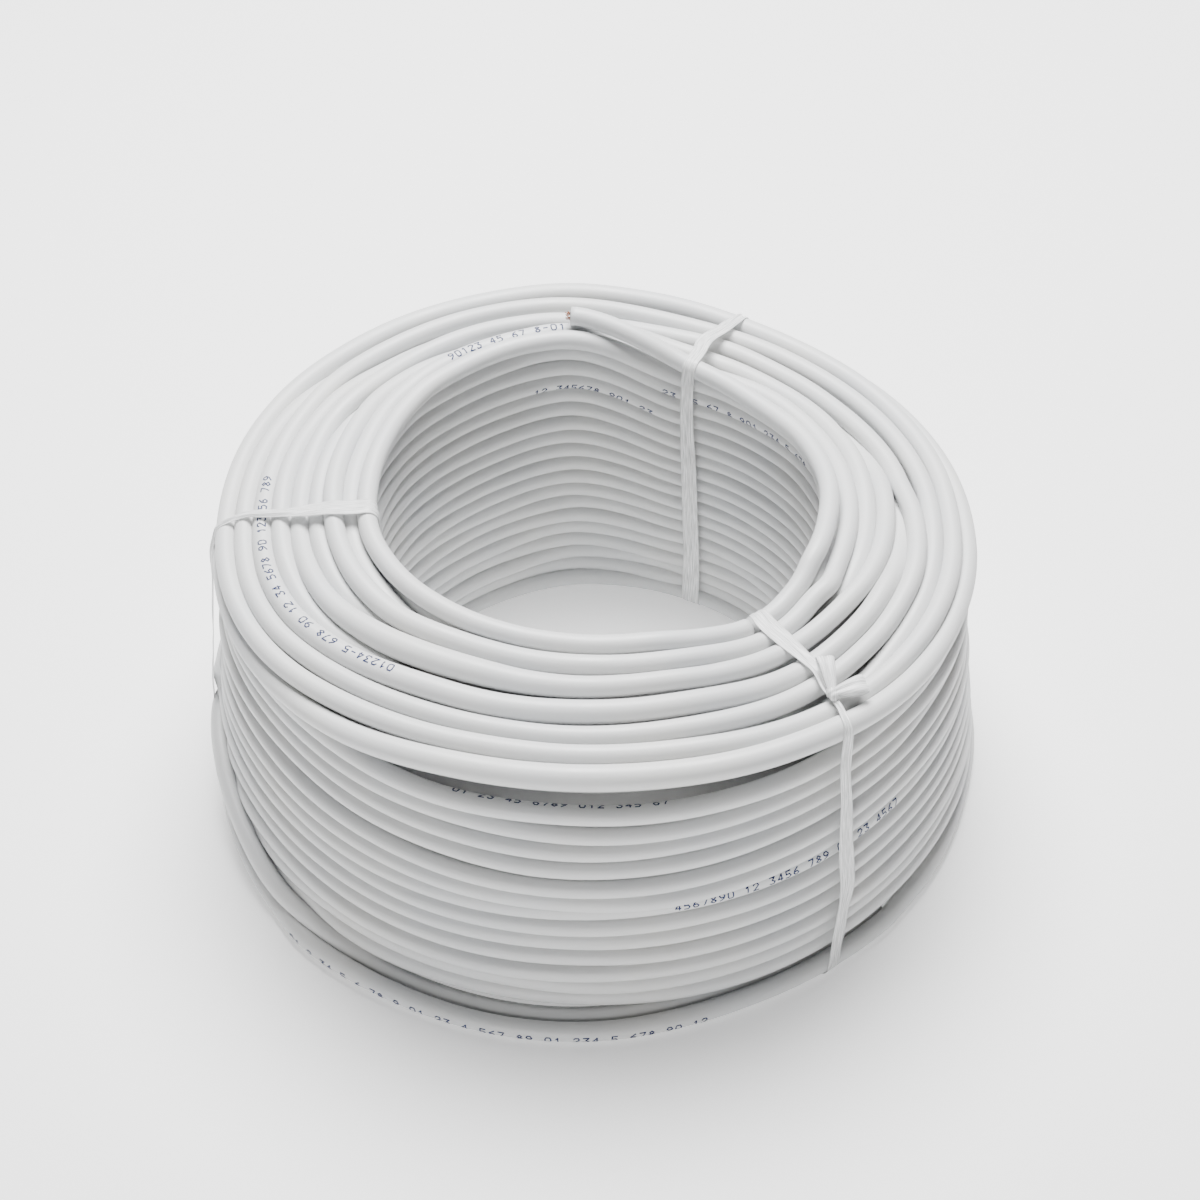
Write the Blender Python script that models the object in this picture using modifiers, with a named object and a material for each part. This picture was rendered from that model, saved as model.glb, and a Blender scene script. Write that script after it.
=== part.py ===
"""A tied coil of white sheathed flex, lying flat on the floor.

The winding is one turned ring: layers of turns from the bore outwards, rows of turns from the
floor up, a top end that slopes down towards the rim, and an outer wall that spreads towards the
floor. Two of the ties press the winding down, most of all along its bore. The last length
of flex lies free on top of it. Three thin plastic ties go round the section and hold it together.
Metres, +Z up, origin on the floor at the centre of the bore, and the photograph is taken from -Y.
"""

import math

import bmesh
import bpy
from mathutils import Matrix, Vector

# Driving sizes of the flex and of the winding
CABLE_DIAMETER = 0.0064
BORE_RADIUS = 0.0746
LAYERS = 9
LAYER_NESTING = 0.889
BORE_ROWS = 19
RIM_ROWS_LOWER = 2
RIM_RECESS = 0.0015
FOOT_SPREAD = 0.0125

# How finely the winding is turned, and how round its ridges are
SEGMENTS = 32
RIDGE_HALF_ANGLE = math.radians(27)
GROOVE_SHARE = 0.265
CORNER_SWING = math.radians(60)
CORNER_STEPS = 3
WELD_DISTANCE = 0.00001

# Driving sizes of the ties
TIE_WIDTH = 0.006
TIE_THICKNESS = 0.0003
CLEARANCE = 0.0003
TIE_ANGLES = {"tie_left": 183.0, "tie_back": 64.0, "tie_front": -50.0}
TIES_OVER_TAIL = ("tie_back", "tie_front")
TIE_CORNER_POINTS = 6

# How far a tie presses the top of the bore down, and over how many degrees on either side of it
TIE_PRESSES = {"tie_back": (0.014, 38.0, 140.0), "tie_front": (0.007, 30.0, 30.0)}
PRESS_SHARE_AT_RIM = 0.4

# The knot of the front tie
KNOT_RADIUS = 0.0042
KNOT_FLATTENING = 0.55
KNOT_LIFT = 0.33
KNOT_INSET_FROM_RIM = 0.016
BOW_LENGTH = 0.015
BOW_WIDTH = 0.005
BOW_THICKNESS = 0.0012
BOW_TURNS = (35.0, 150.0)
BOW_RISE = 18.0

# The free end: azimuth in degrees and distance out from the innermost turn, from the cut end on
TAIL_TUCK = 2.0
TAIL_ROUTE = (
    (97.0, 0.0125),
    (90.0, 0.0085),
    (78.75, 0.003),
    (67.5, 0.0),
    (40.0, 0.0),
    (10.0, 0.0),
    (-20.0, 0.0),
    (TIE_ANGLES["tie_front"] - TAIL_TUCK, 0.0),
)
CONDUCTOR_DIAMETER = 0.0013
CONDUCTOR_SPACING = 0.0026
CONDUCTOR_LENGTH = 0.0014

# Derived sizes
CABLE_RADIUS = CABLE_DIAMETER / 2
LAYER_PITCH = CABLE_DIAMETER * LAYER_NESTING
GROOVE_DEPTH = CABLE_DIAMETER * GROOVE_SHARE
RIM_DROP = CABLE_DIAMETER * RIM_ROWS_LOWER
BASE_Z = TIE_THICKNESS + CLEARANCE
INNER_TURN = BORE_RADIUS + CABLE_RADIUS
OUTER_TURN = INNER_TURN + (LAYERS - 1) * LAYER_PITCH
FOOT_TURN = OUTER_TURN + FOOT_SPREAD
FOOT_LAYERS = round((FOOT_TURN - INNER_TURN) / LAYER_PITCH) + 1
BOTTOM_TURN_Z = BASE_Z + CABLE_RADIUS
TOP_TURN_Z = BOTTOM_TURN_Z + (BORE_ROWS - 1) * CABLE_DIAMETER
RIM_TURN_Z = TOP_TURN_Z - RIM_DROP
TAIL_LIFT = CABLE_DIAMETER + CLEARANCE
TOP_SLOPE = RIM_DROP / (OUTER_TURN - INNER_TURN)
FACET_ANGLE = 360 / SEGMENTS
# A flat side of the turned bore stands this much nearer the axis than its corners
FACET_SHARE = math.cos(math.pi / SEGMENTS)


def clear_scene():
    for old in list(bpy.data.objects):
        bpy.data.objects.remove(old)


def collection(name):
    made = bpy.data.collections.new(name)
    bpy.context.scene.collection.children.link(made)
    return made


def material(name, colour, roughness, metallic=0.0):
    made = bpy.data.materials.new(name)
    made.use_nodes = True
    shader = made.node_tree.nodes["Principled BSDF"]
    shader.inputs["Base Color"].default_value = (*colour, 1.0)
    shader.inputs["Roughness"].default_value = roughness
    shader.inputs["Metallic"].default_value = metallic
    return made


def add_object(name, data, home, finish):
    made = bpy.data.objects.new(name, data)
    home.objects.link(made)
    data.materials.append(finish)
    return made


def on_circle(centre, radius, angle):
    """A point of the section plane, as distance from the axis and height."""
    return Vector((centre.x + radius * math.cos(angle), centre.y + radius * math.sin(angle)))


def press_at_corner(index):
    """How far the ties press the top of the bore down at one of the turned ring's corners."""
    total = 0.0
    for tie, (depth, span_ahead, span_behind) in TIE_PRESSES.items():
        away = (index * FACET_ANGLE - TIE_ANGLES[tie] + 180) % 360 - 180
        span = span_ahead if away > 0 else span_behind
        total += depth * 0.5 * (1 + math.cos(math.pi * min(abs(away) / span, 1.0)))
    return total


def pressed(radius, height, azimuth):
    """Height that a place of the level winding has once the ties are pulled tight."""
    index = math.floor(azimuth / FACET_ANGLE)
    along = azimuth / FACET_ANGLE - index
    press = (1 - along) * press_at_corner(index) + along * press_at_corner(index + 1)
    across = min(max((radius - INNER_TURN) / (OUTER_TURN - INNER_TURN), 0.0), 1.0)
    return height * (1 - press / TOP_TURN_Z * (1 - across * (1 - PRESS_SHARE_AT_RIM)))


def boundary_turns():
    """Centres of the turns on the section's outline: top end outwards, outer wall, bottom, bore wall."""
    top = [
        Vector((INNER_TURN + i * LAYER_PITCH, TOP_TURN_Z - i * LAYER_PITCH * TOP_SLOPE))
        for i in range(LAYERS)
    ]
    outer_steps = BORE_ROWS - 1 - RIM_ROWS_LOWER
    foot = Vector((FOOT_TURN, BOTTOM_TURN_Z))
    outer = [top[-1].lerp(foot, i / outer_steps) for i in range(1, outer_steps)]
    outer[0].x -= RIM_RECESS
    innermost = Vector((INNER_TURN, BOTTOM_TURN_Z))
    bottom = [foot.lerp(innermost, i / (FOOT_LAYERS - 1)) for i in range(FOOT_LAYERS)]
    bore = [
        Vector((INNER_TURN, BOTTOM_TURN_Z + i * CABLE_DIAMETER)) for i in range(1, BORE_ROWS - 1)
    ]
    return top + outer + bottom + bore


def outward_angle(start, end):
    """Direction square to the link between two turns, away from the winding's middle."""
    link = end - start
    return math.atan2(link.x, -link.y)


def winding_profile():
    """Each turn gives a flat-topped ridge, more rounded at the four corners, with a groove between turns."""
    turns = boundary_turns()
    points = []
    for i, turn in enumerate(turns):
        before = outward_angle(turns[i - 1], turn)
        after = outward_angle(turn, turns[(i + 1) % len(turns)])
        swing = (before - after + math.pi) % (2 * math.pi) - math.pi
        first = before + RIDGE_HALF_ANGLE
        last = before - swing - RIDGE_HALF_ANGLE
        steps = CORNER_STEPS if swing > CORNER_SWING else 1
        for step in range(steps + 1):
            angle = first + (last - first) * step / steps
            points.append(on_circle(turn, CABLE_RADIUS, angle))
        following = turns[(i + 1) % len(turns)]
        middle = (turn + following) / 2
        points.append(on_circle(middle, CABLE_RADIUS - GROOVE_DEPTH, after))
    return points


def build_winding(home, finish):
    outline = bmesh.new()
    corners = [outline.verts.new((p.x, 0.0, p.y)) for p in winding_profile()]
    for i, corner in enumerate(corners):
        outline.edges.new((corner, corners[(i + 1) % len(corners)]))
    mesh = bpy.data.meshes.new("cable_coil")
    outline.to_mesh(mesh)
    outline.free()
    coil = add_object("cable_coil", mesh, home, finish)
    turned = coil.modifiers.new("turned", "SCREW")
    turned.axis = "Z"
    turned.angle = 2 * math.pi
    turned.steps = SEGMENTS
    turned.render_steps = SEGMENTS
    turned.use_merge_vertices = True
    turned.merge_threshold = WELD_DISTANCE
    turned.use_smooth_shade = False
    coil = as_mesh(coil, home, finish)
    for corner in coil.data.vertices:
        x, y, z = corner.co
        corner.co.z = pressed(math.hypot(x, y), z, math.degrees(math.atan2(y, x)))


def tail_point(azimuth, offset):
    """Centre of the free end where it rests this far out from the innermost turn."""
    turn = math.radians(azimuth)
    radius = INNER_TURN + offset
    carried_at = pressed(radius, TOP_TURN_Z - offset * TOP_SLOPE, azimuth)
    return Vector((radius * math.cos(turn), radius * math.sin(turn), carried_at + TAIL_LIFT))


def smooth_value(knots, at):
    """Cubic through the knots, which run down in azimuth."""
    for i in range(len(knots) - 1):
        (a0, v0), (a1, v1) = knots[i], knots[i + 1]
        if at >= a1 or i == len(knots) - 2:
            break
    before = knots[max(i - 1, 0)]
    after = knots[min(i + 2, len(knots) - 1)]
    slope0 = (v1 - before[1]) / (a1 - before[0])
    slope1 = (after[1] - v0) / (after[0] - a0)
    span = a1 - a0
    t = (at - a0) / span
    return (
        (2 * t**3 - 3 * t**2 + 1) * v0
        + (t**3 - 2 * t**2 + t) * span * slope0
        + (3 * t**2 - 2 * t**3) * v1
        + (t**3 - t**2) * span * slope1
    )


def tail_points():
    """One point over each corner of the turned ring, so that the free end lies along its facets."""
    start, end = TAIL_ROUTE[0][0], TAIL_ROUTE[-1][0]
    first = math.ceil(start / FACET_ANGLE) - 1
    last = math.floor(end / FACET_ANGLE) + 1
    corners = [index * FACET_ANGLE for index in range(first, last - 1, -1)]
    azimuths = [start] + corners + [end]
    return [tail_point(a, max(0.0, smooth_value(TAIL_ROUTE, a))) for a in azimuths]


def tube(name, points, radius, resolution, home, finish):
    data = bpy.data.curves.new(name, "CURVE")
    data.dimensions = "3D"
    data.bevel_depth = radius
    data.bevel_resolution = resolution
    data.use_fill_caps = True
    spline = data.splines.new("POLY")
    spline.points.add(len(points) - 1)
    for knot, place in zip(spline.points, points):
        knot.co = (*place, 1.0)
    return add_object(name, data, home, finish)


def build_tail(home, sheath, copper):
    points = tail_points()
    tube("cable_tail", points, CABLE_RADIUS, 2, home, sheath)
    outward = (points[0] - points[1]).normalized()
    sideways = outward.cross(Vector((0, 0, 1))).normalized()
    for name, side in (("conductor_end_outer", -1), ("conductor_end_inner", 1)):
        root = points[0] + sideways * side * CONDUCTOR_SPACING / 2 + outward * CLEARANCE
        tip = root + outward * CONDUCTOR_LENGTH
        tube(name, [root, tip], CONDUCTOR_DIAMETER / 2, 1, home, copper)


def tie_top(name):
    """Centres of the two turns that a tie bends over, at the bore and at the rim."""
    azimuth = TIE_ANGLES[name]
    lift = TAIL_LIFT if name in TIES_OVER_TAIL else 0.0
    bore_side = INNER_TURN - BORE_RADIUS * (1 - FACET_SHARE)
    at_bore = Vector((bore_side, pressed(INNER_TURN, TOP_TURN_Z, azimuth) + lift))
    return at_bore, Vector((OUTER_TURN, pressed(OUTER_TURN, RIM_TURN_Z, azimuth)))


def tie_outline(name, offset):
    """The tie's loop round the section: a taut band round the four corner turns, this far out."""
    at_bore, at_rim = tie_top(name)
    corners = (
        at_bore,
        at_rim,
        Vector((FOOT_TURN, BOTTOM_TURN_Z)),
        Vector((at_bore.x, BOTTOM_TURN_Z)),
    )
    loop = []
    for i, corner in enumerate(corners):
        before = outward_angle(corners[i - 1], corner)
        after = outward_angle(corner, corners[(i + 1) % len(corners)])
        swing = (before - after + math.pi) % (2 * math.pi) - math.pi
        for step in range(TIE_CORNER_POINTS):
            angle = before - swing * step / (TIE_CORNER_POINTS - 1)
            loop.append(on_circle(corner, offset, angle))
    return loop


def tie_place(azimuth):
    """Turns a flat outline drawn in X and Y to stand upright, in the plane through the axis."""
    upright = Matrix.Rotation(math.radians(90), 4, "X")
    return Matrix.Rotation(math.radians(azimuth), 4, "Z") @ upright


def build_tie(name, azimuth, home, finish):
    data = bpy.data.curves.new(name, "CURVE")
    data.dimensions = "2D"
    data.fill_mode = "BOTH"
    data.extrude = TIE_WIDTH / 2
    inside = CABLE_RADIUS + CLEARANCE
    for offset in (inside + TIE_THICKNESS, inside):
        loop = tie_outline(name, offset)
        spline = data.splines.new("POLY")
        spline.points.add(len(loop) - 1)
        spline.use_cyclic_u = True
        for knot, place in zip(spline.points, loop):
            knot.co = (place.x, place.y, 0.0, 1.0)
    tie = add_object(name, data, home, finish)
    tie.matrix_world = tie_place(azimuth)
    return tie


def as_mesh(shape, home, finish):
    """The same shape as one closed mesh, with its modifiers applied."""
    bpy.context.view_layer.update()
    graph = bpy.context.evaluated_depsgraph_get()
    mesh = bpy.data.meshes.new_from_object(shape.evaluated_get(graph))
    name, place = shape.name, shape.matrix_world.copy()
    bpy.data.objects.remove(shape)
    welded = bmesh.new()
    welded.from_mesh(mesh)
    bmesh.ops.remove_doubles(welded, verts=welded.verts, dist=WELD_DISTANCE)
    bmesh.ops.recalc_face_normals(welded, faces=welded.faces)
    welded.to_mesh(mesh)
    welded.free()
    mesh.materials.clear()
    made = add_object(name, mesh, home, finish)
    made.matrix_world = place
    return made


def knot_frame():
    """Place of the knot, on the front tie's slope just in from the rim, with Z square to the slope."""
    azimuth = math.radians(TIE_ANGLES["tie_front"])
    at_bore, at_rim = tie_top("tie_front")
    slope = math.atan2(at_bore.y - at_rim.y, at_rim.x - at_bore.x)
    along = KNOT_INSET_FROM_RIM
    skin = CABLE_RADIUS + CLEARANCE + TIE_THICKNESS
    radius = at_rim.x - along + skin * math.sin(slope)
    height = at_rim.y + along * math.tan(slope) + skin * math.cos(slope)
    place = Matrix.Translation((radius * math.cos(azimuth), radius * math.sin(azimuth), height))
    return place @ Matrix.Rotation(azimuth, 4, "Z") @ Matrix.Rotation(slope, 4, "Y")


def join_knot(tie, helpers, finish):
    """The knot is the tie's own ribbon, so its lump and its two ends are one body with it."""
    lump = bmesh.new()
    half_height = KNOT_RADIUS * KNOT_FLATTENING
    shape = Matrix.Diagonal((KNOT_RADIUS, KNOT_RADIUS, half_height, 1.0))
    lift = Matrix.Translation((0, 0, half_height * KNOT_LIFT))
    bmesh.ops.create_uvsphere(lump, u_segments=12, v_segments=8, radius=1.0, matrix=lift @ shape)
    pieces = [("knot_lump", lump)]
    for i, turn in enumerate(BOW_TURNS):
        bow = bmesh.new()
        block = Matrix.Diagonal((BOW_LENGTH, BOW_WIDTH, BOW_THICKNESS, 1.0))
        out = Matrix.Translation((BOW_LENGTH / 2, 0, half_height * KNOT_LIFT))
        rise = Matrix.Rotation(-math.radians(BOW_RISE), 4, "Y")
        spin = Matrix.Rotation(math.radians(turn), 4, "Z")
        bmesh.ops.create_cube(bow, size=1.0, matrix=spin @ rise @ out @ block)
        pieces.append((f"knot_bow_{i}", bow))
    place = knot_frame()
    for name, shape in pieces:
        mesh = bpy.data.meshes.new(name)
        shape.to_mesh(mesh)
        shape.free()
        helper = add_object(name, mesh, helpers, finish)
        helper.matrix_world = place
        helper.hide_render = True
        helper.display_type = "WIRE"
        union = tie.modifiers.new(name, "BOOLEAN")
        union.operation = "UNION"
        union.solver = "EXACT"
        union.object = helper


def main():
    clear_scene()
    parts = collection("coil_of_electrical_wire")
    helpers = collection("joined_helpers")
    sheath = material("white_sheath", (0.69, 0.70, 0.71), 0.42)
    ribbon = material("tie_ribbon", (0.78, 0.79, 0.80), 0.32)
    copper = material("copper", (0.55, 0.26, 0.16), 0.35, 1.0)
    build_winding(parts, sheath)
    build_tail(parts, sheath, copper)
    for name, azimuth in TIE_ANGLES.items():
        tie = build_tie(name, azimuth, parts, ribbon)
        if name == "tie_front":
            join_knot(as_mesh(tie, parts, ribbon), helpers, ribbon)


main()
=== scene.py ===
"""Looks of a tied coil of white sheathed flex: round turns of flex, its free end and its ribbon ties.

Lengths are in millimetres until a mesh is made. A turn's place at an azimuth is its distance from
the bore's axis and its height. Azimuth 0 is +X, 90 is the back and 270 faces the camera.
"""

import math

import bpy
import numpy as np
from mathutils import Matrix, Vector


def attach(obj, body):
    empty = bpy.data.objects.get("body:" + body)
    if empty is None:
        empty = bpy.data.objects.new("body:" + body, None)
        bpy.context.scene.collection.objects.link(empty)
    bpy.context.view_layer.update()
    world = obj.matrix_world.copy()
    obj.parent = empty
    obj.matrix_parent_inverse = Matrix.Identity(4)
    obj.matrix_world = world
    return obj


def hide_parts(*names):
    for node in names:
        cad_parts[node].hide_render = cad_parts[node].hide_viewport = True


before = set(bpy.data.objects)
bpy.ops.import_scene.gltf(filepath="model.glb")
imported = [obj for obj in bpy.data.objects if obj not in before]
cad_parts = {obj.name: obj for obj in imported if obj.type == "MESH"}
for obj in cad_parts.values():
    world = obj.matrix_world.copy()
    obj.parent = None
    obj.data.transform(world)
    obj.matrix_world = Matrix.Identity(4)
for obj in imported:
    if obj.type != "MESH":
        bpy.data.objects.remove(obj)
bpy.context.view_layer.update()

MM = 0.001
BODY = "root"

# Sizes of the winding, as the solids have them: places of turns' centre lines, and the ties' azimuths
CABLE_DIAMETER = 6.4
INNER_TURN = 77.8
OUTER_TURN = 123.32
FOOT_TURN = 135.82
BOTTOM_TURN_Z = 3.8
TOP_TURN_Z = 119.0
TOP_SLOPE = 0.281
BORE_ROWS = 19
TIE_ANGLES = {"tie_left": 183.0, "tie_back": 64.0, "tie_front": -50.0}

# How far a tie presses the top of the bore down, over how many degrees on its side of rising azimuth
# and on its other side, and the share of it that is left at the rim
TIE_PRESSES = {"tie_back": (14.0, 38.0, 140.0), "tie_front": (7.0, 30.0, 30.0)}
PRESS_SHARE_AT_RIM = 0.4

# How the turns are drawn: half widths, corners of a tube, places round the circle, the lowest height
TUBE_RADIUS = 3.3
TOP_RADIUS = 3.4
TUBE_SIDES = 16
RING_SIDES = 12
STATIONS = 288
STEP = 360 / STATIONS
FLOOR_TURN_Z = 4.0
SEED = 7

# How a turn strays from its lane: waves round the circle, and the size that a single wave would have
WANDER_WAVES = (2, 3, 5, 8, 13)
WANDER_SIZE = 0.34

# How the turns settle: how far neighbours may press into each other, the number of rounds, and each
# round's share of the push apart, of the smoothing and of the pull back to the lane
PRESSED_IN = 0.16
SETTLE_ROUNDS = 90
PUSH_SHARE = 0.42
SMOOTH_SHARE = 0.25
LANE_SHARE = 0.06

# The innermost flex, from its cut end on: azimuth, radius and how far below the top's level it lies,
# or above it where that is negative. Up to TAIL_END_AZIMUTH it is the free end, then it is wound
TAIL_END_AZIMUTH = -52.0
INNER_FLEX = (
    (97, 87.9, -7.5), (89.4, 83.9, -8.1), (82.8, 81, -9), (77.3, 79.8, -9.3), (70.6, 79.1, -8.6),
    (64, 78.2, -7.2), (56, 76.6, -6.6), (48, 75.2, -6.6), (35, 74.8, -6.6), (20, 76.4, -6.6),
    (8.6, 77.4, -6.5), (0, 78.2, -6.4), (-12, 79, -5.8), (-24, 79.8, -4.2), (-38, 80, -1.2),
    (-50, 80, 0), (-60, 79.4, 0), (-90, 78, 0), (-115, 78.2, 0), (-130, 78.7, 0), (-150, 79.3, 0),
    (-160, 79.1, 0), (-170, 77.9, 0), (-180, 77, 0), (-195, 76.6, 0), (-210, 77.4, 0),
    (-225, 79.2, 0), (-240, 80.2, 0), (-260, 81.2, 0), (-275, 80.8, 0), (-296, 79.6, 0),
    (-325, 79.6, 0), (-360, 79.8, 0), (-380, 80.6, 1.2), (-395, 82.5, 4.5), (-410, 84, 7.5),
    (-425, 84.5, 8),
)

# The other turns that show on top, in the same form; where one dives under its neighbours it ends
TOP_STRANDS = {
    "second_turn": (
        (250, 84, 8), (236, 84.6, 5.8), (220, 84.6, 4), (205, 84.4, 3), (190, 83.4, 2.9),
        (180, 82.9, 2.6), (160, 82.6, 2), (145, 84, 0.6), (134, 85, 0), (120, 86.2, 0),
        (100, 86, 0), (80, 85.6, 0), (64, 85.6, 0), (48, 87.3, 0), (27, 86.5, 0), (4, 84.5, 0),
        (-17, 85.6, 0), (-29, 85.9, 0), (-39, 86, 0), (-50, 86, 0), (-60, 85.5, 0), (-90, 85.6, 0),
        (-120, 86.2, 0), (-140, 89, 0), (-150, 89.6, 0), (-160, 89.2, 0), (-180, 87.8, 0),
        (-200, 88.4, 0), (-212, 90.2, 0.4), (-225, 92, 2.6), (-240, 92.6, 5), (-260, 92.4, 6.5),
    ),
    "third_turn": (
        (40, 98, 6.5), (27, 98.2, 4), (16, 98, 1.2), (4, 97.6, 0), (-17, 97, 0), (-29, 94.8, 0),
        (-39, 93.4, 0), (-60, 92.6, 0), (-90, 92.8, 0), (-105, 93.3, 0), (-120, 94.6, 0),
        (-132, 97, 0), (-140, 99.2, 0), (-150, 101, 0), (-160, 101.2, 0), (-180, 100.3, 0),
        (-200, 99.8, 0), (-210, 98.6, 0), (-225, 99.8, 0), (-240, 99.4, 0), (-270, 95.6, 0),
        (-296, 94, 0), (-312, 93.6, 0), (-333, 93, 0), (-356, 91, 0), (-377, 91.4, 1),
        (-389, 91, 4), (-410, 88.6, 5.6), (-450, 89.2, 5.6), (-480, 90.2, 5.6), (-497, 93.2, 4.2),
        (-509, 95.2, 0.9), (-520, 95.2, 0), (-540, 94.4, 0), (-558, 94.8, 0.2), (-570, 94.6, 2.6),
        (-585, 94, 6), (-600, 94, 7.5),
    ),
    "fourth_turn": (
        (12, 103, 6.5), (2, 102.8, 4.4), (-7, 102.8, 1.8), (-17, 103.2, 0.4), (-29, 102.8, 0),
        (-39, 102, 0), (-60, 101.6, 0), (-90, 101.3, 0), (-110, 102.7, 0), (-120, 104, 0),
        (-130, 106.3, 0), (-140, 109.4, 0), (-150, 112, 0), (-160, 112.9, 0), (-180, 112.3, 0),
        (-200, 113.2, 0), (-220, 114.4, 0), (-240, 114.2, 0), (-270, 112.3, 0), (-297, 112, 0),
        (-327, 111.4, 0), (-356, 112.8, 0), (-377, 114.6, 0.8), (-389, 115, 2.4), (-401, 114.6, 5),
        (-415, 114, 7.5),
    ),
    "fifth_turn": (
        (262, 98, 8), (250, 99.6, 6.4), (238, 101.4, 4.4), (225, 104, 2.8), (213, 106.6, 1.4),
        (200, 107, 0.4), (180, 106.2, 0), (160, 106.4, 0), (148, 107, 0.4), (135, 107.2, 3),
        (120, 106.8, 4.6), (90, 104.6, 4.4), (76, 104, 2.2), (64, 103.4, 0), (50, 102.2, 0),
        (33, 101.6, 0), (16, 103, 0), (4, 105.4, 0), (-8, 108.2, 0), (-18, 109.4, 0),
        (-29, 109.8, 0), (-39, 109, 0), (-60, 109.4, 0), (-90, 109.4, 0), (-110, 110.6, 0),
        (-120, 112.2, 0), (-130, 114.5, 0), (-140, 116.9, 0), (-150, 119.2, 0), (-160, 119.8, 0),
        (-180, 118.7, 0), (-198, 119.2, 0), (-210, 120, 0.8), (-225, 120.4, 4), (-240, 120, 5.4),
        (-270, 118.6, 6), (-290, 117, 7.5),
    ),
}

# The top's outermost turn, in the same form
RIM_TURN = (
    (4, 120.2, 0), (33, 119.6, 0), (53, 119.5, 0), (62, 120.4, 0), (71, 122.4, 0.4),
    (90, 124.4, 0.6), (120, 125.4, 0.6), (140, 124.4, 0.5), (160, 124.4, 0), (180, 124.6, 0),
    (200, 126.2, 0), (210, 126, 0), (220, 124.2, 0), (230, 122, 0), (240, 119.6, 0),
    (250, 117.8, 0), (270, 116.9, 0), (300, 118, 0), (321, 120.6, 0), (331, 120.8, 0),
    (343, 119.9, 0),
)

# The flex isn't quite round, and these turns show their broad side: azimuth and half width
BROAD_SIDES = {
    "second_turn": ((-85, 3.4), (-105, 3.6), (-125, 3.75), (-145, 3.6), (-160, 3.4)),
    "third_turn": ((-80, 3.4), (-100, 3.8), (-116, 4.4), (-135, 4.4), (-150, 3.7), (-165, 3.4)),
    "fourth_turn": (
        (-40, 3.6), (-60, 3.8), (-90, 3.95), (-125, 4.1), (-150, 3.75), (-200, 3.6), (-230, 3.45),
    ),
    "climbing_row": (
        (0, 3.35), (180, 3.35), (225, 3.7), (250, 4.2), (270, 4.3), (300, 4.1), (330, 3.5),
    ),
    "rim_turn": (
        (20, 3.4), (60, 3.8), (90, 4.0), (135, 4.0), (170, 3.5), (200, 3.4), (235, 3.55),
        (290, 3.55), (330, 3.4),
    ),
}

# The first row of the outer wall, which climbs up to be the front's rim: azimuth, radius, height
CLIMBING_ROW = (
    (4, 123.9, 100.6), (33, 123.8, 99), (64, 125, 95.4), (90, 128.2, 98.6), (120, 129.2, 99.5),
    (150, 127.6, 99.5), (180, 126.4, 99.5), (200, 127, 99.2), (220, 127.6, 99.6),
    (230, 127.5, 102.3), (240, 126.8, 104.4), (254, 125.3, 106.1), (270, 124.2, 106.5),
    (300, 125.5, 105.1), (321, 126.3, 102.8), (343, 125.2, 101.2),
)

# The outer wall's other rows, of which the first lies deep under the rim: their heights at the azimuths
# WALL_STOPS, and how far proud of the wall's slope they stand at the front. At PLAIN_STOPS, round the
# sides that the photograph hides, they are evenly spaced from BACK_TOP_ROW down to BACK_LOW_ROW
WALL_STOPS = (210.0, 240.0, 270.0, 300.0, 330.0)
PLAIN_STOPS = (0.0, 40.0, 64.0, 90.0, 130.0, 180.0)
WALL_ROWS = (
    ((97.4, 97.0, 96.9, 96.7, 96.2), -8.0),
    ((93.1, 91.2, 91.5, 91.2, 90.3), 0.8),
    ((86.4, 84.4, 83.3, 84.2, 84.6), 0.0),
    ((79.6, 77.8, 76.9, 78.0, 79.0), 0.0),
    ((73.4, 70.9, 69.3, 71.4, 73.2), 0.5),
    ((64.4, 62.6, 61.5, 64.2, 67.0), 1.0),
    ((57.6, 55.6, 54.4, 57.2, 60.4), 0.6),
    ((51.0, 48.0, 49.4, 52.0, 54.4), -1.0),
    ((43.6, 42.0, 43.6, 45.4, 47.6), -0.6),
    ((37.2, 35.6, 37.6, 38.8, 41.0), -0.3),
    ((31.0, 29.4, 30.8, 30.6, 33.6), 0.0),
    ((25.6, 22.8, 23.6, 24.6, 27.4), 0.9),
    ((20.0, 18.0, 17.8, 19.6, 21.4), -0.2),
    ((14.0, 12.2, 11.6, 12.8, 14.6), -0.8),
)
BACK_TOP_ROW = 93.1
BACK_LOW_ROW = 10.3

# The wall's slope: radius of the rows' centre lines at RIM_LEVEL and at the floor, by azimuth
RIM_LEVEL = 106.0
RIM_WALL = ((0, 121.4), (60, 124.6), (110, 127.4), (180, 124.0), (270, 124.4), (320, 122.8))
FOOT_WALL = ((0, 132.6), (90, 134.0), (180, 133.6), (210, 134.4), (270, 134.4), (330, 133.2))

# The two turns that stand proud at the wall's foot: azimuth, radius, height
STRAY_ROW = (
    (163, 126, 37), (176, 128.6, 35), (190, 132.6, 29.8), (200, 135, 23.8), (210, 136.9, 16.8),
    (220, 137.6, 9.8), (230, 137, 6), (242, 136.4, 4), (270, 135.4, 3.9), (284, 131.6, 3.9),
    (300, 128, 3.9), (318, 127.6, 3.9),
)
FOOT_ROW = (
    (0, 133, 3.9), (90, 134.2, 3.9), (150, 134, 3.9), (190, 134, 3.9), (212, 137.6, 3.9),
    (230, 141, 3.9), (245, 142.2, 3.9), (270, 141.4, 3.9), (284, 137.4, 3.9), (300, 134.4, 3.9),
    (322, 134.2, 3.9), (345, 132.4, 3.9),
)

# The plain rings of the underside
BOTTOM_FIRST = 84.6
BOTTOM_RINGS = 7
BOTTOM_PITCH = 6.45

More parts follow.
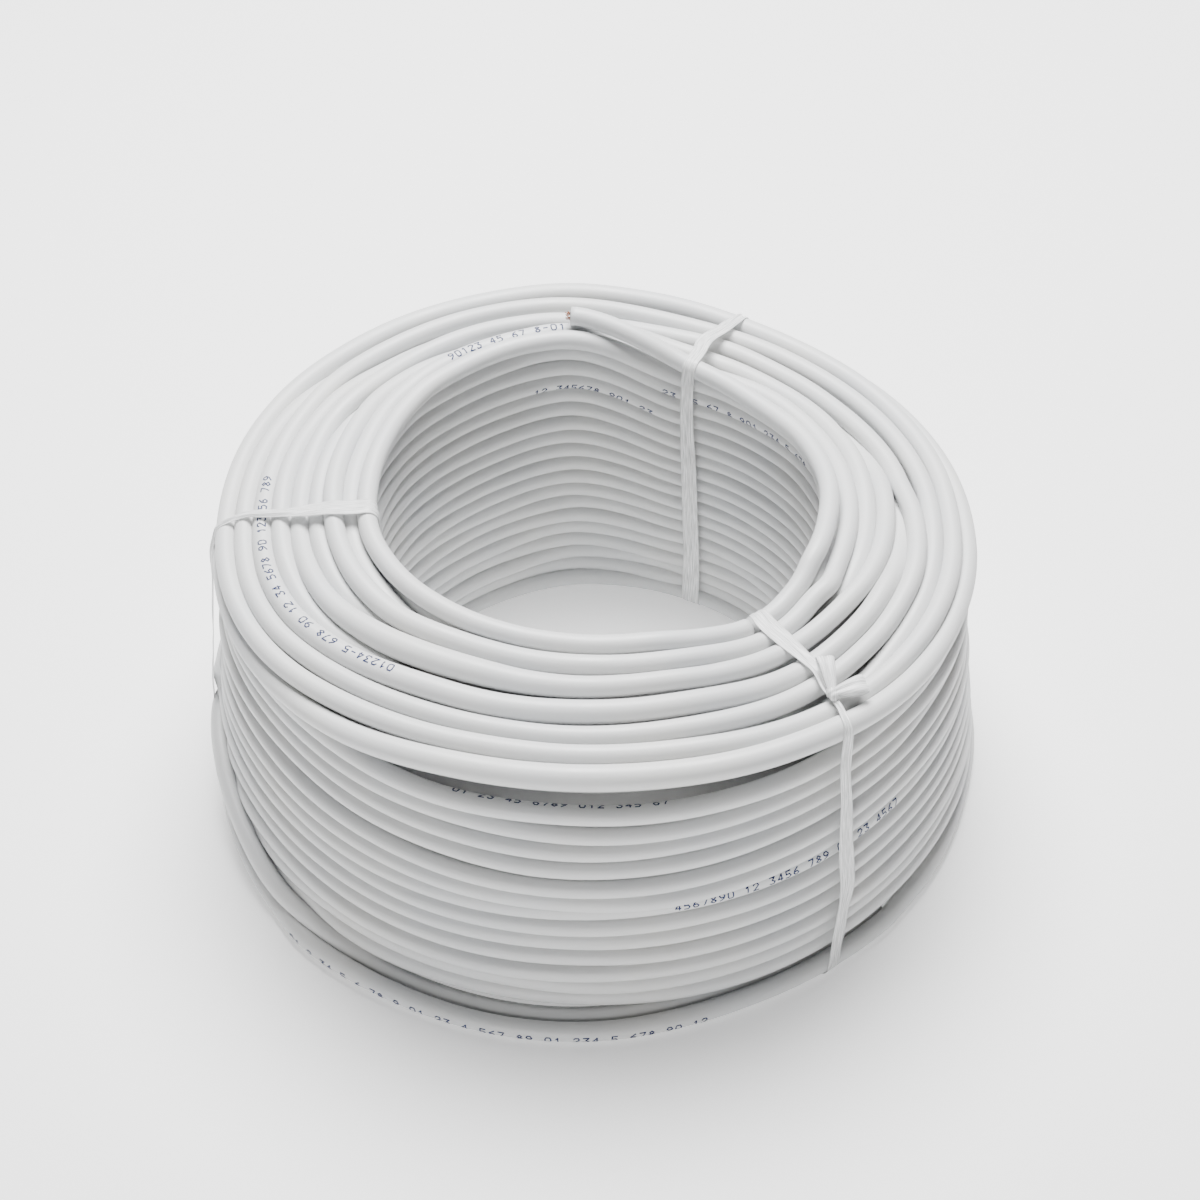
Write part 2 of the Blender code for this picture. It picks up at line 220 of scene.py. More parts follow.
# The winding's plain middle: radii at the bore, under the rim and at the foot, the heights of its
# lower edges and of its shoulder, how far its top lies below the turns' level, and its step round
CORE_INNER = 86.0
CORE_RIM = 116.5
CORE_FOOT = 126.5
CORE_BOTTOM = 8.0
CORE_SHOULDER = 94.0
CORE_UNDER_RIM = 7.5
CORE_UNDER_BORE = 9.0
CORE_STEP = 3.0

# Where each tie runs round the winding: radius, height, azimuth and half its width there. The radius
# and height only give the heading from TIE_MIDDLE: the ribbon itself lies tight on the turns
TIE_LINES = {
    "tie_left": (
        (74, 95, 191.6, 3), (76.3, 121, 191.5, 3.6), (84, 120, 190.5, 3.9), (89.4, 118, 189.4, 3.8),
        (97, 116, 187.9, 3.2), (105, 114, 186.3, 2.1), (112, 112, 184.9, 1.9),
        (117, 110, 183.8, 1.5), (123, 108, 184, 1.1), (128, 104, 184.7, 1.1), (131, 88, 185, 2),
        (136, 50, 185.4, 3), (137, 4, 186, 3), (105, 0, 188, 3), (76, 4, 191, 3),
        (74, 50, 191.6, 3),
    ),
    "tie_back": (
        (123, 103, 64.3, 2.1), (109.4, 106, 65, 2.5), (95.5, 108, 65.8, 2.7),
        (80.5, 111, 64.4, 2.5), (75, 104, 64.6, 2.4), (73, 76, 63.8, 2.8), (73, 43, 62.6, 3.1),
        (74, 8, 61.9, 3.4), (105, 0, 62.6, 3.2), (136, 5, 63.2, 3), (134, 50, 63.6, 2.9),
        (129, 92, 64, 2.4),
    ),
    "tie_front": (
        (74, 100, -49, 2.7), (76, 119, -48.7, 2.8), (80, 118, -49.2, 3.2), (89.5, 115, -49.3, 3.3),
        (100, 112, -49.1, 2.5), (106.4, 110, -49.2, 2.1), (114, 108, -50.8, 1.4),
        (121, 106, -51.4, 1.1), (126, 103, -52.5, 1.4), (128, 97, -53, 1.8), (131, 75, -53.1, 2.3),
        (134, 53, -53.1, 3), (136, 35, -53, 3.1), (137, 18, -54.4, 3.1), (135, 1, -55.6, 3.1),
        (105, 0, -53, 3), (76, 4, -50, 2.8), (74, 50, -49.2, 2.7),
    ),
}

# The middle that the ties run round, as radius and height, and the make of their ribbons: how clear
# they are of the turns, the step along that outline and along them, their thickness, the places across
TIE_MIDDLE = (104.0, 55.0)
TIE_CLEARANCE = 0.12
OUTLINE_STEP = 0.4
TIE_SPACING = 1.0
RIBBON_THICKNESS = 0.16
ACROSS = np.linspace(-1, 1, 13)

# The ridges along a ribbon: their number, half width and height, the lengths over which they swell and
# stray, and how much flatter they are where the coil rests on the ribbon
CREASES = 6
CREASE_WIDTH = 0.2
CREASE_HEIGHT = 0.14
CREASE_SWELLS = (16, 45)
CREASE_BENDS = (20, 50)
UNDERSIDE_SHARE = 0.25

# The knot on the front tie, its length and thickness, and its bows: heading, length, half width, height
KNOT_RADIUS = 118.0
KNOT_REACH = 2.6
KNOT_SWELL = 1.75
BOW_STEPS = 48
BOWS = (
    ((-3.6, 16.8), 13.5, 3.0, 3.4),
    ((9.0, 3.4), 11.5, 3.3, 4.6),
)

# Each conductor at the cut: how far it is off the middle, its half width, and its fine strands
CONDUCTOR_OFFSET = 1.2
CONDUCTOR_RADIUS = 0.85
COPPER_STRANDS = 7
STRAND_OFFSET = 0.42
STRAND_RADIUS = 0.13

# Plain figures printed along the sheath, as strokes in a box one wide and one high
FIGURES = {
    "0": (((0.2, 0), (0.8, 0), (1, 0.25), (1, 0.75), (0.8, 1), (0.2, 1), (0, 0.75), (0, 0.25), (0.2, 0)),),
    "1": (((0.2, 0.75), (0.55, 1), (0.55, 0)),),
    "2": (((0, 0.8), (0.25, 1), (0.8, 1), (1, 0.75), (0, 0), (1, 0)),),
    "3": (((0, 1), (1, 1), (0.45, 0.6), (1, 0.35), (0.75, 0), (0.2, 0), (0, 0.15)),),
    "4": (((0.75, 0), (0.75, 1), (0, 0.3), (1, 0.3)),),
    "5": (((1, 1), (0.1, 1), (0.05, 0.55), (0.7, 0.6), (1, 0.3), (0.7, 0), (0, 0)),),
    "6": (((0.9, 1), (0.2, 0.65), (0, 0.3), (0.3, 0), (0.75, 0), (1, 0.25), (0.7, 0.5), (0.1, 0.45)),),
    "7": (((0, 1), (1, 1), (0.4, 0)),),
    "8": (
        ((0.5, 0.53), (0.9, 0.78), (0.5, 1), (0.1, 0.78), (0.5, 0.53)),
        ((0.5, 0.53), (1, 0.25), (0.5, 0), (0, 0.25), (0.5, 0.53)),
    ),
    "9": (((0.1, 0), (0.8, 0.35), (1, 0.7), (0.7, 1), (0.25, 1), (0, 0.75), (0.3, 0.5), (0.9, 0.55)),),
    "-": (((0.1, 0.5), (0.9, 0.5)),),
}

# Size of the figures, the step from one to the next, the width of their strokes, the longest piece of
# a stroke, and how far its two faces lie above the sheath
FIGURE_HEIGHT = 2.7
FIGURE_WIDTH = 1.75
FIGURE_PITCH = 2.9
STROKE_WIDTH = 0.46
STROKE_PIECE = 0.8
INK_LIFTS = (-0.05, 0.03)

# Faces of a piece of stroke, whose eight corners are those of its lower face and then its upper one
BLOCK_FACES = [[3, 2, 1, 0], [4, 5, 6, 7], [0, 1, 5, 4], [1, 2, 6, 5], [2, 3, 7, 6], [3, 0, 4, 7]]

# Where the figures stand: turn, azimuth of the first one, angle up from the horizontal, sense, figures
PRINT = {
    "top_figures": (
        ("fourth_turn", -127.0, 86.0, -1, "01234-5 678 90 12 34 5678 90 123456 789"),
        ("second_turn", 128.0, 100.0, -1, "90123 45 67 8-01"),
    ),
    "wall_figures": (
        ("wall_row_2", 249.0, 120.0, 1, "01 23 45 6789 012 345 67"),
        ("wall_row_8", 281.0, 14.0, 1, "4567890 12 3456 789 01 23 4567"),
        ("foot_row", 224.0, -14.0, 1, "01 2 34 5 6 78 9 01 23 4 567 89 01 234 5 678 90 12"),
    ),
    "bore_figures": (
        ("bore_row_16", 107.0, 206.0, -1, "12 345678 901 23"),
        ("bore_row_18", 72.0, 200.0, -1, "23 45 67 8 901 234 5 678"),
    ),
}

# Radius of the bore wall's surface by azimuth
BORE_WALL = (
    (0, 78.8), (20, 78.8), (40, 78.2), (58, 77.4), (70, 76.4), (85, 78.2), (95, 79.5),
    (104, 78.6), (115, 76.8), (130, 75.9), (150, 76.6), (180, 76.4), (230, 76.2),
    (270, 76.0), (310, 76.6), (340, 77.8),
)

# How far the bore's middle rows lie below their even spacing
ROW_SAG = 1.7

# The camera, in degrees and metres: elevation, aim, distance, focal length and shift
CAMERA_ELEVATION = 43.3
CAMERA_AIM = (0.0, 0.0, 0.06)
CAMERA_DISTANCE = 1.0
CAMERA_LENS = 85.56
CAMERA_SHIFT = (2.6 / 1200, 11.4 / 1200)

# The studio, in metres: each light's place, size and power
LIGHTS = (
    ("overhead", (0.0, 0.5, 1.25), 0.9, 70.0),
    ("front_fill", (-0.3, -1.5, 0.3), 0.9, 13.0),
)
LIGHT_AIM = (0.0, 0.0, 0.05)
FLOOR_REACH = 4.0


def unit(vectors):
    """The same vectors with length one."""
    return vectors / np.linalg.norm(vectors, axis=-1, keepdims=True)


def wrapped(knots):
    """The same knots with a copy of them on either side, so that a closed turn has no seam."""
    knots = sorted(tuple(float(v) for v in k) for k in knots)
    low = [(k[0] - 360.0, *k[1:]) for k in knots]
    high = [(k[0] + 360.0, *k[1:]) for k in knots]
    return np.array(low + knots + high)


def through(knots, at):
    """Smooth values through knots whose first number is the place and whose others are values."""
    knots = np.array(sorted(tuple(float(v) for v in k) for k in knots))
    place, values = knots[:, 0], knots[:, 1:]
    slope = np.gradient(values, place, axis=0)
    i = np.clip(np.searchsorted(place, at, side="right") - 1, 0, len(place) - 2)
    span = place[i + 1] - place[i]
    t = np.clip((at - place[i]) / span, 0.0, 1.0)[:, None]
    span = span[:, None]
    return (
        (2 * t**3 - 3 * t**2 + 1) * values[i]
        + (t**3 - 2 * t**2 + t) * span * slope[i]
        + (3 * t**2 - 2 * t**3) * values[i + 1]
        + (t**3 - t**2) * span * slope[i + 1]
    )


def around(knots, azimuth):
    """Smooth closed values at any azimuths."""
    return through(wrapped(knots), np.mod(azimuth, 360.0))


def press(azimuth):
    """How far the ties press the top of the bore down at each azimuth."""
    total = np.zeros_like(azimuth)
    for tie, (depth, span_ahead, span_behind) in TIE_PRESSES.items():
        away = np.mod(azimuth - TIE_ANGLES[tie] + 180.0, 360.0) - 180.0
        span = np.where(away > 0, span_ahead, span_behind)
        total += depth * 0.5 * (1 + np.cos(np.pi * np.minimum(np.abs(away) / span, 1.0)))
    return total


def pressed(radius, height, azimuth):
    """Height that a place of the level winding has once the ties are pulled tight."""
    across = np.clip((radius - INNER_TURN) / (OUTER_TURN - INNER_TURN), 0.0, 1.0)
    share = press(azimuth) / TOP_TURN_Z * (1 - across * (1 - PRESS_SHARE_AT_RIM))
    return height * (1 - share)


def on_top(knots, azimuth, closed):
    """Places of a turn that lies on top, from its azimuth, radius and depth below the top's level."""
    radius, sink = (around if closed else through)(knots, azimuth).T
    level = TOP_TURN_Z - (radius - INNER_TURN) * TOP_SLOPE
    return np.column_stack((radius, pressed(radius, level, azimuth) - sink))


class Strand:
    """One turn, or a stretch of several turns, as places at even steps of azimuth."""

    def __init__(self, name, family, azimuth, places, closed):
        self.name = name
        self.family = family
        self.azimuth = azimuth
        self.target = places
        self.closed = closed
        self.radius = np.full(len(azimuth), TOP_RADIUS if family == "top" else TUBE_RADIUS)
        if name in BROAD_SIDES:
            broad = around if closed else through
            self.radius = broad(BROAD_SIDES[name], azimuth)[:, 0]


def full_circle():
    """Azimuths of a closed strand."""
    return np.arange(STATIONS) * STEP


def stretch(knots):
    """Azimuths of an open strand, a whole number of steps, from its lowest azimuth up."""
    azimuths = [k[0] for k in knots]
    first = math.ceil(min(azimuths) / STEP)
    last = math.floor(max(azimuths) / STEP)
    return np.arange(first, last + 1) * STEP


def top_strands():
    """The innermost flex, the stretches that show beside it and the rim."""
    made = []
    azimuth = stretch(INNER_FLEX)
    made.append(Strand("inner_flex", "top", azimuth, on_top(INNER_FLEX, azimuth, False), False))
    for name, knots in TOP_STRANDS.items():
        azimuth = stretch(knots)
        made.append(Strand(name, "top", azimuth, on_top(knots, azimuth, False), False))
    azimuth = full_circle()
    made.append(Strand("rim_turn", "top", azimuth, on_top(RIM_TURN, azimuth, True), True))
    return made


def wall_radius(height, azimuth):
    """Radius of the outer wall's slope."""
    rim = around(RIM_WALL, azimuth)[:, 0]
    foot = around(FOOT_WALL, azimuth)[:, 0]
    up = np.clip(height / RIM_LEVEL, 0.0, 1.0)
    return foot + (rim - foot) * up


def wall_strands():
    """The climbing row, the rows below it and the two turns at the foot."""
    azimuth = full_circle()
    made = [Strand("climbing_row", "wall", azimuth, around(CLIMBING_ROW, azimuth), True)]
    for i, (heights, proud) in enumerate(WALL_ROWS):
        level = BACK_TOP_ROW + (BACK_LOW_ROW - BACK_TOP_ROW) * i / (len(WALL_ROWS) - 1)
        knots = list(zip(WALL_STOPS, heights))
        for stop in PLAIN_STOPS:
            knots.append((stop, float(pressed(FOOT_TURN, level, np.array(stop)))))
        height = around(knots, azimuth)[:, 0]
        front = 0.5 - 0.5 * np.cos(np.radians(np.clip(azimuth - 180.0, 0.0, 180.0) * 2))
        radius = wall_radius(height, azimuth) + proud * front
        name = f"wall_row_{i + 1}"
        made.append(Strand(name, "wall", azimuth, np.column_stack((radius, height)), True))
    azimuth = stretch(STRAY_ROW)
    made.append(Strand("stray_row", "wall", azimuth, through(STRAY_ROW, azimuth), False))
    azimuth = full_circle()
    made.append(Strand("foot_row", "wall", azimuth, around(FOOT_ROW, azimuth), True))
    return made


def bore_strands():
    """The rows of the bore wall below the innermost flex."""
    azimuth = full_circle()
    radius = around(BORE_WALL, azimuth)[:, 0] + TUBE_RADIUS
    made = []
    for row in range(1, BORE_ROWS):
        level = BOTTOM_TURN_Z + (row - 1) * CABLE_DIAMETER
        level -= ROW_SAG * math.sin(math.pi * (row - 1) / (BORE_ROWS - 1))
        height = pressed(radius, level, azimuth)
        name = f"bore_row_{row}"
        made.append(Strand(name, "bore", azimuth, np.column_stack((radius, height)), True))
    return made


def bottom_strands():
    """The rings of the underside."""
    azimuth = full_circle()
    made = []
    for i in range(BOTTOM_RINGS):
        places = np.tile((BOTTOM_FIRST + i * BOTTOM_PITCH, FLOOR_TURN_Z), (STATIONS, 1))
        made.append(Strand(f"bottom_ring_{i + 1}", "bottom", azimuth, places, True))
    return made


def wander(strand, rng):
    """How far a hand-wound turn strays from its lane, sideways and up."""
    drift = np.zeros_like(strand.target)
    for waves in WANDER_WAVES:
        size = WANDER_SIZE / math.sqrt(waves)
        for axis in (0, 1):
            phase = rng.uniform(0, 2 * math.pi)
            drift[:, axis] += size * np.sin(np.radians(strand.azimuth) * waves + phase)
    return drift


def neighbours(strands):
    """For each point of the strands, the one before it and the one after it."""
    before, after, start = [], [], 0
    for s in strands:
        index = np.arange(len(s.azimuth)) + start
        last = index[-1]
        before.append(np.where(index == start, last if s.closed else start, index - 1))
        after.append(np.where(index == last, start if s.closed else last, index + 1))
        start = last + 1
    return np.concatenate(before), np.concatenate(after)


def points_by_station(station):
    """The points at each station, one row for each, filled up with -1."""
    deepest = int(np.bincount(station, minlength=STATIONS).max())
    table = np.full((STATIONS, deepest), -1)
    filled = np.zeros(STATIONS, int)
    for i, at in enumerate(station):
        table[at, filled[at]] = i
        filled[at] += 1
    return table


def settle(strands):
    """Lets every turn keep clear of its neighbours while it stays near its lane."""
    rng = np.random.default_rng(SEED)
    target = np.concatenate([s.target + wander(s, rng) for s in strands])
    target[:, 1] = np.maximum(target[:, 1], FLOOR_TURN_Z)
    station = np.concatenate([np.rint(s.azimuth / STEP).astype(int) % STATIONS for s in strands])
    bore = np.concatenate([np.full(len(s.azimuth), s.family == "bore") for s in strands])
    radius = np.concatenate([s.radius for s in strands])
    before, after = neighbours(strands)
    table = points_by_station(station)
    here = table >= 0
    squeeze = 1 - press(full_circle()) / TOP_TURN_Z
    both_bore = bore[table][:, :, None] & bore[table][:, None, :]
    reach = radius[table][:, :, None] + radius[table][:, None, :] - PRESSED_IN
    reach = reach * np.where(both_bore, squeeze[:, None, None], 1.0)
    pairs = here[:, :, None] & here[:, None, :] & ~np.eye(table.shape[1], dtype=bool)[None]
    place = target.copy()
    for _ in range(SETTLE_ROUNDS):
        group = place[table]
        apart = group[:, :, None, :] - group[:, None, :, :]
        distance = np.sqrt((apart**2).sum(-1)) + 1e-6
        short = np.where(pairs, np.maximum(reach - distance, 0.0), 0.0)
        shift = (apart * (PUSH_SHARE * short / distance)[..., None]).sum(2)
        moved = np.zeros_like(place)
        moved[table[here]] = shift[here]
        place += moved
        place += SMOOTH_SHARE * (0.5 * (place[before] + place[after]) - place)
        place += LANE_SHARE * (target - place)
        place[:, 1] = np.maximum(place[:, 1], FLOOR_TURN_Z)
    start = 0
    for s in strands:
        s.places = place[start:start + len(s.azimuth)]
        start += len(s.azimuth)


def path_of(strand):
    """The strand's centre line as points in the row frame, in millimetres."""
    turn = np.radians(strand.azimuth)
    radius, height = strand.places.T
    return np.column_stack((radius * np.cos(turn), radius * np.sin(turn), height))


def frames_along(points, closed):
    """Unit vectors outward and upward, square to a line at each of its points."""
    if closed:
        along = np.roll(points, -1, 0) - np.roll(points, 1, 0)
    else:
        along = np.gradient(points, axis=0)
    along = unit(along)
    outward = unit(np.cross(along, (0.0, 0.0, 1.0)))
    return outward, np.cross(outward, along)


def ring_faces(steps, count, sides):
    """Quads over a number of steps from one ring of corners to the next; the last meets the first."""
    rows = np.arange(steps)[:, None]
    columns = np.arange(sides)[None]
    ahead = (rows + 1) % count
    beside = (columns + 1) % sides
    quads = np.stack(
        (rows * sides + columns, rows * sides + beside, ahead * sides + beside, ahead * sides + columns),
        axis=-1,
    )
    return quads.reshape(-1, 4).tolist()


def tube_mesh(points, radius, closed, sides=TUBE_SIDES):
    """Vertices and faces of a round tube; an open one gets flat ends."""
    outward, upward = frames_along(points, closed)
    turn = np.arange(sides) * 2 * np.pi / sides
    ring = outward[:, None] * np.cos(turn)[:, None] + upward[:, None] * np.sin(turn)[:, None]
    radius = np.broadcast_to(radius, (len(points),))
    corners = points[:, None] + ring * radius[:, None, None]
    count = len(points)
    faces = ring_faces(count if closed else count - 1, count, sides)
    if not closed:
        faces.append(list(range(sides - 1, -1, -1)))
        faces.append([(count - 1) * sides + k for k in range(sides)])
    return corners.reshape(-1, 3), faces


def joined(parts):
    """Several vertex and face lists as one."""
    vertices, faces, start = [], [], 0
    for more_vertices, more_faces in parts:
        vertices.append(more_vertices)
        faces.extend([[i + start for i in face] for face in more_faces])
        start += len(more_vertices)
    return np.concatenate(vertices), faces


def add_piece(name, vertices, faces, finish, slot, nodes, smooth=True):
    """A mesh of millimetre vertices becomes a piece of the object."""
    mesh = bpy.data.meshes.new(name)
    mesh.from_pydata((np.asarray(vertices) * MM).tolist(), [], faces)
    mesh.validate()
    mesh.update()
    if smooth:
        mesh.shade_smooth()
    piece = bpy.data.objects.new(name, mesh)
    bpy.context.scene.collection.objects.link(piece)
    piece.data.materials.append(finish)
    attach(piece, BODY)
    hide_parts(*nodes)
    return piece


def new_material(name, colour, roughness):
    """A material with its nodes, its links and its shader."""
    made = bpy.data.materials.new(name)
    made.use_nodes = True
    shader = made.node_tree.nodes["Principled BSDF"]
    shader.inputs["Base Color"].default_value = (*colour, 1.0)
    shader.inputs["Roughness"].default_value = roughness
    return made, made.node_tree.nodes, made.node_tree.links, shader


def noise(nodes, links, scale, detail, coordinates):
    """Soft noise round 0.5."""
    made = nodes.new("ShaderNodeTexNoise")
    made.inputs["Scale"].default_value = scale
    made.inputs["Detail"].default_value = detail
    links.new(coordinates, made.inputs["Vector"])
    return made.outputs["Fac"]


def remap(nodes, links, value, low, high):
    """The noise's usual range stretched to the range from low to high."""
    made = nodes.new("ShaderNodeMapRange")
    made.inputs["From Min"].default_value = 0.3
    made.inputs["From Max"].default_value = 0.7
    made.inputs["To Min"].default_value = low
    made.inputs["To Max"].default_value = high
    links.new(value, made.inputs["Value"])
    return made.outputs["Result"]


def blend_colours(nodes, links, factor, first, second):
    """The first colour where the factor is 0, the second where it is 1."""
    made = nodes.new("ShaderNodeMix")
    made.data_type = "RGBA"
    made.inputs["A"].default_value = (*first, 1.0)
    made.inputs["B"].default_value = (*second, 1.0)
    links.new(factor, made.inputs["Factor"])
    return made.outputs["Result"]


def bump(nodes, links, shader, height, strength, distance):
    """Fine relief on the shader."""
    made = nodes.new("ShaderNodeBump")
    made.inputs["Strength"].default_value = strength
    made.inputs["Distance"].default_value = distance
    links.new(height, made.inputs["Height"])
    links.new(made.outputs["Normal"], shader.inputs["Normal"])


def sheath_material():
    """Satin white PVC: faint warm and cool patches, scuffed gloss and a very fine extruded grain."""
    made, nodes, links, shader = new_material("white_sheath", (0.63, 0.635, 0.64), 0.42)
    place = nodes.new("ShaderNodeTexCoord").outputs["Object"]
    patches = remap(nodes, links, noise(nodes, links, 28.0, 3.0, place), 0.0, 1.0)
    tint = blend_colours(nodes, links, patches, (0.615, 0.625, 0.635), (0.65, 0.65, 0.64))
    links.new(tint, shader.inputs["Base Color"])
    scuffs = remap(nodes, links, noise(nodes, links, 90.0, 4.0, place), 0.36, 0.5)
    links.new(scuffs, shader.inputs["Roughness"])
    bump(nodes, links, shader, noise(nodes, links, 700.0, 3.0, place), 0.12, 0.0004)
    return made


def ribbon_material():
    """Thin milky film with fine lengthwise fibres."""
    made, nodes, links, shader = new_material("fibrous_ribbon", (0.9, 0.91, 0.91), 0.28)
    place = nodes.new("ShaderNodeTexCoord").outputs["UV"]
    stretched = nodes.new("ShaderNodeMapping")
    stretched.inputs["Scale"].default_value = (1.6, 0.07, 1.0)
    links.new(place, stretched.inputs["Vector"])
    fibres = noise(nodes, links, 1.6, 4.0, stretched.outputs["Vector"])
    clear = remap(nodes, links, fibres, 0.0, 1.0)
    tint = blend_colours(nodes, links, clear, (0.74, 0.75, 0.75), (0.97, 0.97, 0.97))
    links.new(tint, shader.inputs["Base Color"])
    links.new(remap(nodes, links, fibres, 0.5, 0.97), shader.inputs["Alpha"])
    bump(nodes, links, shader, fibres, 0.6, 0.0004)
    return made


def copper_material():
    """Dark tarnished copper."""
    made, nodes, links, shader = new_material("copper", (0.5, 0.22, 0.12), 0.35)
    shader.inputs["Metallic"].default_value = 1.0
    place = nodes.new("ShaderNodeTexCoord").outputs["Object"]
    tarnish = remap(nodes, links, noise(nodes, links, 2500.0, 2.0, place), 0.0, 1.0)
    tint = blend_colours(nodes, links, tarnish, (0.1, 0.035, 0.018), (0.32, 0.12, 0.06))
    links.new(tint, shader.inputs["Base Color"])
    return made


def ink_material():
    """Dark blue ink, thinner in places."""
    made, nodes, links, shader = new_material("printed_ink", (0.03, 0.035, 0.09), 0.8)
    place = nodes.new("ShaderNodeTexCoord").outputs["Object"]
    shader.inputs["Specular IOR Level"].default_value = 0.1
    worn = remap(nodes, links, noise(nodes, links, 900.0, 2.0, place), 0.0, 1.0)
    tint = blend_colours(nodes, links, worn, (0.015, 0.02, 0.06), (0.07, 0.08, 0.15))
    links.new(tint, shader.inputs["Base Color"])
    return made


def core_mesh():
    """The plain middle of the winding, which only shows as darkness between the turns."""
    azimuth = np.arange(0, 360, CORE_STEP)
    rows = []
    for radius, height in (
        (CORE_INNER, CORE_BOTTOM),
        (CORE_FOOT, CORE_BOTTOM),
        (CORE_RIM, CORE_SHOULDER),
        (CORE_RIM, TOP_TURN_Z - (CORE_RIM - INNER_TURN) * TOP_SLOPE - CORE_UNDER_RIM),
        (CORE_INNER, TOP_TURN_Z - CORE_UNDER_BORE),
    ):
        level = pressed(np.full_like(azimuth, radius), height, azimuth)
        turn = np.radians(azimuth)
        rows.append(np.column_stack((radius * np.cos(turn), radius * np.sin(turn), level)))
    corners = np.stack(rows, 1)
    count, sides = corners.shape[:2]
    faces = []
    for i in range(count):
        for k in range(sides):
            ahead, beside = (i + 1) % count, (k + 1) % sides
            faces.append([i * sides + k, ahead * sides + k, ahead * sides + beside, i * sides + beside])
    return corners.reshape(-1, 3), faces


def build_winding(strands, finish):
    """Every turn as a tube, without the free end, and the core inside them."""
    for family in ("bore", "wall", "bottom", "top"):
        sides = RING_SIDES if family == "bottom" else TUBE_SIDES
        parts = []
        for s in strands:
            if s.family != family:
                continue
            points, radius = path_of(s), s.radius
            if s.name == "inner_flex":
                wound = s.azimuth < TAIL_END_AZIMUTH
                points, radius = points[wound], radius[wound]
            parts.append(tube_mesh(points, radius, s.closed, sides))
        add_piece(f"{family}_turns", *joined(parts), finish, "cable_sheath", ["cable_coil"])
    add_piece("winding_core", *core_mesh(), finish, "cable_sheath", ["cable_coil"], smooth=False)


def build_tail(strands, finish):
    """The free end as a cord, from the winding to the cut; gives its points."""
    inner = next(s for s in strands if s.name == "inner_flex")
    points = path_of(inner)[inner.azimuth >= TAIL_END_AZIMUTH]
    tail = add_piece(
        "free_end", *tube_mesh(points, TOP_RADIUS, False), finish, "cable_sheath", ["cable_tail"]
    )
    return points


def section_at(strands, azimuth):
    """Every turn's centre at an azimuth, as radius and height, with its own half width."""
    found = []
    for s in strands:
        for turn in range(-2, 2):
            at = azimuth + 360.0 * turn
            if s.closed and turn == 0 or not s.closed and s.azimuth[0] <= at <= s.azimuth[-1]:
                place = np.mod(at, 360.0) if s.closed else at
                period = 360.0 if s.closed else None
                values = (s.places[:, 0], s.places[:, 1], s.radius)
                found.append([np.interp(place, s.azimuth, v, period=period) for v in values])
    return np.array(found)


def hull(points):
    """Corners of the convex outline round the points, anticlockwise."""
    ordered = sorted(map(tuple, points))
    corners = []
    for sweep in (ordered, ordered[::-1]):
        half = []
        for p in sweep:
            while len(half) > 1:
                (ax, ay), (bx, by) = half[-2], half[-1]
                if (bx - ax) * (p[1] - ay) - (by - ay) * (p[0] - ax) > 0:
                    break
                half.pop()
            half.append(p)
        corners += half[:-1]
    return np.array(corners)


def taut_reach(section, turn):
    """How far from the tie's middle a band pulled tight round the section's turns is."""
    circle = np.linspace(0, 2 * np.pi, 40, endpoint=False)
    spread = np.column_stack((np.cos(circle), np.sin(circle)))
    rim = [(r, z) + spread * (half + TIE_CLEARANCE) for r, z, half in section]
    outline = hull(np.concatenate(rim))
    ends = np.vstack((outline, outline[:1]))
    run = np.concatenate(([0.0], np.cumsum(np.linalg.norm(np.diff(ends, axis=0), axis=1))))
    fine = np.arange(0, run[-1], OUTLINE_STEP)
    x, z = (np.interp(fine, run, ends[:, k]) - TIE_MIDDLE[k] for k in (0, 1))
    angle = np.mod(np.degrees(np.arctan2(z, x)), 360.0)
    return np.interp(np.mod(turn, 360.0), *zip(*sorted(zip(angle, np.hypot(x, z)))), period=360.0)


def tie_line(name, strands):
    """A tie's centre line at even steps, its half widths and its headings from the tie's middle."""
    knots = []
    for r, z, azimuth, half in TIE_LINES[name]:
        angle = math.degrees(math.atan2(z - TIE_MIDDLE[1], r - TIE_MIDDLE[0])) % 360.0
        knots.append((angle, azimuth, half))
    turn = np.arange(270.0, 630.0, 0.5)
    azimuth, half = around(knots, turn).T
    first = math.floor(azimuth.min() / STEP)
    stops = np.arange(first, math.ceil(azimuth.max() / STEP) + 1) * STEP
    reaches = np.array([taut_reach(section_at(strands, stop), turn) for stop in stops])
    at = (azimuth - stops[0]) / STEP
    low = np.clip(np.floor(at).astype(int), 0, len(stops) - 2)
    share = at - low
    column = np.arange(len(turn))
    reach = reaches[low, column] * (1 - share) + reaches[low + 1, column] * share
    r = TIE_MIDDLE[0] + reach * np.cos(np.radians(turn))
    z = TIE_MIDDLE[1] + reach * np.sin(np.radians(turn))
    angle = np.radians(azimuth)
    line = np.column_stack((r * np.cos(angle), r * np.sin(angle), z))
    steps = np.linalg.norm(np.diff(np.vstack((line, line[:1])), axis=0), axis=1)
    run = np.concatenate(([0.0], np.cumsum(steps)))
    count = int(run[-1] / TIE_SPACING)
    even = np.arange(count) * run[-1] / count
    closed = [np.append(v, v[0]) for v in (*line.T, half)]
    x, y, z, half = (np.interp(even, run, v) for v in closed)
    return np.column_stack((x, y, z)), half, np.radians(np.interp(even, run[:-1], turn))


def tie_course(name, strands):
    """A tie's centre line, the directions across and away from the turns, and its half widths."""
    centre, half, away = tie_line(name, strands)
    angle = np.arctan2(centre[:, 1], centre[:, 0])
    guess = np.column_stack((np.cos(away) * np.cos(angle), np.cos(away) * np.sin(angle), np.sin(away)))
    along = np.roll(centre, -2, 0) - np.roll(centre, 2, 0)
    side = unit(np.cross(along, guess))
    return centre, side, unit(np.cross(side, along)), half


